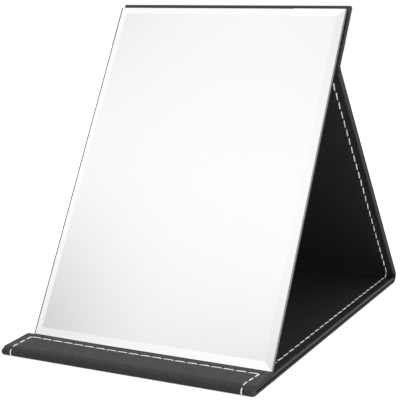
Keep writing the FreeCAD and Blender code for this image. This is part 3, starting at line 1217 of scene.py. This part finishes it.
@dataclass
class BackPanel(CasePart):
    """The back panel: the sloping leg of the easel, leather on both faces and stitched along its sides."""

    row_inset: float = 5.25
    side_run: StitchRun = StitchRun(7.45, 6.55)

    def build(self) -> None:
        """Builds the two leaves and the side rows."""
        plane, low = self.sizes.back_plane, self.sizes.back_start
        high = self.sizes.back_length - self.sizes.end_gap
        rows = {"inset": self.row_inset, "pitch": self.side_run.pitch}
        leaf = Leaf(self.sizes.width, low, high, **rows, **COVER_EDGE)
        cover = self.make("back_leather", leaf.laid(plane, Side.OUTER), Slot.COVER)
        fix_piece(cover, "back_panel", "back_cover")
        crown = (self.sizes.back_crown, self.sizes.back_crown)
        # No roll here: the mirror's backing lies close over this leaf when the case is opened flat.
        inner = replace(leaf, crown=crown, roll=0.0, **BACK_LINING_EDGE)
        lining = self.make("back_leather_lining", inner.laid(plane, Side.INNER), Slot.LINING)
        fix_piece(lining, "back_panel", "back_lining")
        reach = self.sizes.row_reach(self.row_inset)
        first, last = low + self.sizes.fold_gap, high - self.sizes.row_gap
        faces = [(side, side.value * self.sizes.thread_height) for side in Side]
        for name, x in (("left", -reach), ("right", reach)):
            threads = [self.side_run.on(plane, (x, first, z), (x, last, z), side) for side, z in faces]
            piece = self.make(f"back_thread_{name}", joined(*threads), Slot.THREAD)
            fix_piece(piece, "back_panel", f"back_stitches_{name}")


@dataclass
class HingeStrip(CasePart):
    """The hinge strip: the case's top end, folded up behind the mirror and glued to its back."""

    length: float = 38.0
    # How far the leather is turned over the board's top end.
    turned_over: float = 0.1
    proud: float = 0.18
    row_inset: float = 6.0
    # The crease's round at its ends, the spacing of its sections, how far from its valley line the valley's
    # curve starts, and how far it bends to each side of its middle.
    crease_round: float = 0.5
    crease_section: float = 8.0
    valley_reach: float = 0.35
    bend_reach: float = 0.367
    # Points on the valley's curve and on the round back.
    valley_points: int = 7
    back_points: int = 13

    def crease_profile(self) -> np.ndarray:
        """Gives the crease's side profile: a tight valley on the outside and a round back inside.

        The valley is a quadratic curve from one panel's face to the other, drawn to where they meet.

        Returns:
            Points (y, z) in the object's frame, anticlockwise seen from +X.
        """
        t, gap = self.sizes.panel / 2, self.sizes.end_gap
        down, up = math.radians(-self.sizes.back), math.radians(self.sizes.lean)
        low = np.array([math.cos(down), math.sin(down)])
        high = np.array([math.cos(up), math.sin(up)])
        low_out = np.array([-math.sin(down), math.cos(down)])
        high_out = np.array([math.sin(up), -math.cos(up)])
        middle = (low_out + high_out) / np.linalg.norm(low_out + high_out)
        valley = middle * t / (middle @ low_out)
        ends = np.stack([low * gap - low_out * t, low * gap + low_out * t])
        smooth = np.linspace(0, 1, self.valley_points)[:, None]
        enter, leave = valley + low * self.valley_reach, valley + high * self.valley_reach
        curve = (1 - smooth) ** 2 * enter + 2 * smooth * (1 - smooth) * valley + smooth**2 * leave
        tops = np.stack([high * gap + high_out * t, high * gap - high_out * t])
        start = math.degrees(math.atan2(-high_out[1], -high_out[0]))
        stop = math.degrees(math.atan2(-low_out[1], -low_out[0])) % 360
        back = arc((0.0, 0.0), (t, t), start, stop, self.back_points)
        return np.concatenate([ends, curve, tops, back]) + np.array(self.sizes.crease)

    def crease(self) -> None:
        """Builds the crease between the back panel and the strip."""
        half, rounds = self.sizes.width / 2, (self.crease_round, self.crease_round)
        bar = carried_profile(self.crease_profile(), (-half, half), rounds, self.crease_section)
        piece = self.make("crease_leather", bar, Slot.COVER)
        tilt = math.radians((self.sizes.lean + 180.0 - self.sizes.back) / 2)
        step = np.array([math.cos(tilt), math.sin(tilt)]) * self.bend_reach
        start, end = span(self.sizes.crease, step)
        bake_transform(piece)

    def threads(self) -> None:
        """Builds the rows round the strip's two sides and its top."""
        plane, z = self.sizes.strip_plane, -self.sizes.thread_height
        x, top = self.sizes.row_reach(self.row_inset), self.length - self.row_inset
        low, run = self.sizes.end_gap + self.sizes.row_gap, StitchRun()
        rows = [run.on(plane, (-x, top, z), (x, top, z), Side.OUTER)]
        rows += [run.on(plane, (edge, low, z), (edge, top, z), Side.OUTER) for edge in (-x, x)]
        fix_piece(self.make("strip_thread", joined(*rows), Slot.THREAD), "mirror_panel", "strip_stitches")

    def build(self) -> None:
        """Builds the two leaves, the crease and the stitches."""
        plane, width = self.sizes.strip_plane, self.sizes.panel_width + 2 * self.proud
        top = {"turned_end": True, "end_row": True, "inset": self.row_inset}
        leaf = Leaf(width, self.sizes.end_gap, self.length + self.turned_over, **top, **STRIP_EDGE)
        cover = self.make("strip_leather", leaf.laid(plane, Side.OUTER), Slot.COVER)
        fix_piece(cover, "mirror_panel", "strip_cover")
        flat = replace(leaf, end_row=False, **UNSTITCHED, **STRIP_LINING_EDGE)
        lining = self.make("strip_leather_lining", flat.laid(plane, Side.INNER), Slot.LINING)
        fix_piece(lining, "mirror_panel", "strip_lining")
        self.crease()
        self.threads()


@dataclass
class BevelledMirror(CasePart):
    """The mirror: a bevelled pane on a thin leather-covered backing."""

    width: float = 140.0
    height: float = 202.0
    thickness: float = 2.4
    bevel: float = 4.5
    bevel_drop: float = 0.9
    # How far the pane reaches below its foot line and past its left line.
    foot_reach: float = 0.45
    left_reach: float = 0.6
    # The front arris at left, right, bottom and top and its slope, and the rear arris.
    arris: tuple[float, float, float, float] = (0.7, 0.3, 0.2, 0.15)
    arris_slope: float = 0.02
    rear_arris: float = 0.12
    backing_width: float = 140.2
    backing_height: float = 203.2
    backing_front: float = 2.68
    backing_rear: float = 4.1

    def glass(self) -> None:
        """Builds the pane: rectangles from its back over its edge to the bevel, joined ring to ring."""
        half, edge, chip = self.width / 2, -self.bevel_drop, self.rear_arris
        # Each row is one ring: its inset from the pane's left, right, bottom and top edge.
        inset = np.array([[chip] * 4, [0.0] * 4, [0.0] * 4, self.arris, [self.bevel] * 4])
        level = np.array([-self.thickness, chip - self.thickness, edge - chip, edge + self.arris_slope, 0.0])
        left, right = inset[:, 0] - half - self.left_reach, half - inset[:, 1]
        low, high = inset[:, 2] - self.foot_reach, self.height - inset[:, 3]
        x = np.stack([left, right, right, left], axis=1)
        y = np.stack([low, low, high, high], axis=1)
        points = np.stack([x, y, np.broadcast_to(level[:, None], x.shape)], axis=-1).reshape(-1, 3)
        walls = sheet_faces(len(inset), 4, wrap=True)[:, ::-1].tolist()
        front, rear = [16, 17, 18, 19], [3, 2, 1, 0]
        # The left edge, the last of each ring, takes the dark glass edge: painted shade for the dark leather
        # that the glass shows along that side.
        marks = [1, 1, 1, 2] * 3 + [0] * 4 + [0, 1]
        surface = Surface(self.sizes.mirror_plane.place(points), walls + [front, rear], marks)
        piece = self.make("bevelled_pane", surface, Slot.GLASS, sharp=1.0)
        fix_piece(piece, "mirror_panel", "mirror_glass")

    def backing(self) -> None:
        """Builds the backing: one leather-covered leaf behind the pane."""
        solid = {"thickness": self.backing_rear - self.backing_front, "bed": 0.0} | UNSTITCHED
        leaf = Leaf(self.backing_width, 0.0, self.backing_height, True, True, **solid, **BACKING_EDGE)
        local = leaf.surface()
        points = local.points * np.array([-1.0, 1.0, -1.0]) - np.array([0.0, 0.0, self.backing_front])
        piece = self.make("backing_leather", local.moved(self.sizes.mirror_plane.place(points)), Slot.COVER)
        # Painted shade: the backing takes the darker raw-back leather, for the shade it lies in behind the
        # pane.
        piece.data.materials[0] = self.finishes.raw_back_and_shade
        fix_piece(piece, "mirror_panel", "backing_cover")

    def build(self) -> None:
        """Builds the pane and its backing."""
        self.backing()
        self.glass()


@dataclass
class InnerStock:
    """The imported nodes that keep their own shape: boards, tapes and the mirror's back paint."""

    finishes: Finishes
    nodes: tuple[tuple[Slot, tuple[str, ...]], ...] = (
        (Slot.BOARD, ("base_board", "lip_board", "back_board", "strip_board", "backing_board")),
        (Slot.ADHESIVE, ("strip_tape", "mirror_tape")),
        (Slot.SILVER, ("mirror_coating",)),
    )

    def build(self) -> None:
        """Dresses each node in its slot's finish."""
        for slot, names in self.nodes:
            for name in names:
                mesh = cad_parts[name].data
                mesh.materials.clear()
                mesh.materials.append(self.finishes.by_slot[slot])
                LOG.info("%s: dressed as %s", name, slot.value)


# Studio


@dataclass
class Studio:
    """The studio: a white floor, soft light from all round and above, and the photograph's camera."""

    camera_at: Point = (264.134, -573.136, 186.712)
    azimuth: float = 25.963
    elevation: float = 10.551
    lens: float = 98.7907
    sensor: float = 36.0
    clip_end: float = 50.0
    sky: float = 0.8
    # Half the floor's side in metres, its colours, its pattern's scale, its glow, and the glow's share in
    # reflections.
    floor_half: float = 3.0
    floor_colours: tuple[str, str] = ("#f2f2f2", "#f5f5f5")
    floor_scale: float = 6.0
    floor_glow: float = 0.6
    floor_share: float = 0.15
    # Name, side in metres, power in watts and place of each lamp, and the point that they face.
    softboxes: tuple[tuple[str, float, float, Point], ...] = (
        ("overhead_softbox", 0.9, 3.0, (0.15, -0.1, 1.3)),
        ("side_softbox", 0.35, 2.9, (0.62, -0.42, 0.16)),
    )
    lit_point: Point = (0.0, 0.0, 0.06)
    # Azimuth and elevation in degrees, depth and tightness of each grey patch that the mirror shows.
    patches: tuple[tuple[float, float, float, float], ...] = (
        (-42.7, 30.3, 0.38, 151.0),
        (-24.5, 30.5, 0.38, 146.0),
        (-62.1, 48.1, 0.38, 82.0),
        (-62.3, 21.6, 0.24, 240.0),
        (1.3, 32.8, 0.38, 103.0),
        (-12.3, 66.6, 0.38, 43.0),
        (-41.0, 18.2, 0.38, 75.0),
    )

    def camera(self) -> None:
        """Sets the camera at the photograph's viewpoint."""
        data = bpy.data.cameras.new("camera")
        data.lens = self.lens
        data.sensor_width = self.sensor
        data.clip_end = self.clip_end
        camera = bpy.data.objects.new("camera", data)
        camera.location = [c * MM for c in self.camera_at]
        camera.rotation_euler = (math.radians(90 - self.elevation), 0.0, math.radians(self.azimuth))
        bpy.context.scene.collection.objects.link(camera)
        bpy.context.scene.camera = camera

    def paper(self) -> Material:
        """Makes the floor's paper: white to the camera and in reflections, and shaded by the object.

        Returns:
            The material.
        """
        material, tree = blank_material("white_studio_floor")
        rays = add_node(tree, "LightPath").outputs
        place = add_node(tree, "TexCoord").outputs["Object"]
        cloud = add_node(tree, "TexNoise", None, {"Vector": place, "Scale": self.floor_scale})
        low, high = self.floor_colours
        colours = {0: cloud.outputs["Fac"], 6: linear(low), 7: linear(high)}
        tone = add_node(tree, "Mix", {"data_type": "RGBA"}, colours).outputs[2]
        paper = add_node(tree, "BsdfDiffuse", None, {"Color": tone, "Roughness": 0.5}).outputs[0]
        white = {"Color": linear("#ffffff"), "Strength": self.floor_glow}
        glow = add_node(tree, "Emission", None, white)
        lit = add_node(tree, "AddShader", None, {0: paper, 1: glow.outputs[0]})
        # The lit paper is almost white by itself, so reflections need only a little of the glow.
        faint = {0: rays["Is Glossy Ray"], 1: self.floor_share}
        seen = add_node(tree, "Math", {"operation": "MULTIPLY"}, faint).outputs[0]
        for ray in ("Is Camera Ray", "Is Transmission Ray"):
            seen = add_node(tree, "Math", {"operation": "MAXIMUM"}, {0: seen, 1: rays[ray]}).outputs[0]
        mixed = add_node(tree, "MixShader", None, {0: seen, 1: paper, 2: lit.outputs[0]})
        add_node(tree, "OutputMaterial", None, {"Surface": mixed.outputs[0]})
        return material

    def floor(self) -> None:
        """Lays the floor."""
        mesh, far = bpy.data.meshes.new("floor"), self.floor_half
        corners = [(-far, -far, 0.0), (far, -far, 0.0), (far, far, 0.0), (-far, far, 0.0)]
        mesh.from_pydata(corners, [], [[0, 1, 2, 3]])
        mesh.materials.append(self.paper())
        floor = bpy.data.objects.new("floor", mesh)
        bpy.context.scene.collection.objects.link(floor)

    def reflected(self, tree: Tree) -> Socket:
        """Gives the studio's brightness as reflections show it: white, with a few soft grey patches.

        Each patch takes away its depth times e to the power of its tightness times (c - 1), where c is the
        cosine of the angle from its middle.

        Args:
            tree: The world's node tree.

        Returns:
            The brightness, 1 for white.
        """
        towards = add_node(tree, "TexCoord").outputs["Generated"]
        brightness: Any = 1.0
        add = {"operation": "MULTIPLY_ADD"}
        for azimuth, elevation, depth, tightness in self.patches:
            a, e = math.radians(azimuth), math.radians(elevation)
            middle = (math.sin(a) * math.cos(e), -math.cos(a) * math.cos(e), math.sin(e))
            cosine = add_node(tree, "VectorMath", {"operation": "DOT_PRODUCT"}, {0: towards, 1: middle})
            power = add_node(tree, "Math", add, {0: cosine.outputs["Value"], 1: tightness, 2: -tightness})
            fall = add_node(tree, "Math", {"operation": "EXPONENT"}, {0: power.outputs[0]})
            taken = {0: fall.outputs[0], 1: -depth, 2: brightness}
            brightness = add_node(tree, "Math", add, taken).outputs[0]
        return brightness

    def world(self) -> None:
        """Lights the object from a soft sky, white to the camera and a white tent in reflections."""
        world = bpy.data.worlds.new("studio")
        bpy.context.scene.world = world
        world.use_nodes = True
        tree = world.node_tree
        tree.nodes.clear()
        rays, pale = add_node(tree, "LightPath").outputs, linear("#ffffff")
        straight_on = {0: rays["Is Camera Ray"], 1: rays["Is Transmission Ray"]}
        seen = add_node(tree, "Math", {"operation": "MAXIMUM"}, straight_on).outputs[0]
        sky, tent, white = (
            add_node(tree, "Background", None, {"Color": pale, "Strength": strength}).outputs[0]
            for strength in (self.sky, self.reflected(tree), 1.0)
        )
        lit = add_node(tree, "MixShader", None, {0: rays["Is Glossy Ray"], 1: sky, 2: tent}).outputs[0]
        mixed = add_node(tree, "MixShader", None, {0: seen, 1: lit, 2: white})
        add_node(tree, "OutputWorld", None, {"Surface": mixed.outputs[0]})

    def lamps(self) -> None:
        """Hangs a wide soft lamp over the object, and stands a smaller one low on its right."""
        for name, size, power, place in self.softboxes:
            data = bpy.data.lights.new(name, "AREA")
            data.size = size
            data.energy = power
            lamp = bpy.data.objects.new(name, data)
            lamp.location = place
            facing = Vector(self.lit_point) - lamp.location
            lamp.rotation_euler = facing.to_track_quat("-Z", "Y").to_euler()
            bpy.context.scene.collection.objects.link(lamp)

    def build(self) -> None:
        """Sets up the camera, the floor and the light."""
        bpy.context.scene.view_settings.view_transform = "Standard"
        self.camera()
        self.floor()
        self.world()
        self.lamps()


def main() -> None:
    """Builds the studio, the finishes and every piece of the case in order."""
    logging.basicConfig(level=logging.INFO, format="%(name)s %(message)s")
    finishes = Finishes().build()
    sizes = CaseSizes()
    Studio().build()
    for part in (Base, RearFold, BackPanel, HingeStrip, BevelledMirror):
        LOG.info("building %s", part.__name__)
        part(sizes, finishes).build()
    InnerStock(finishes).build()


if __name__ == "__main__":
    main()
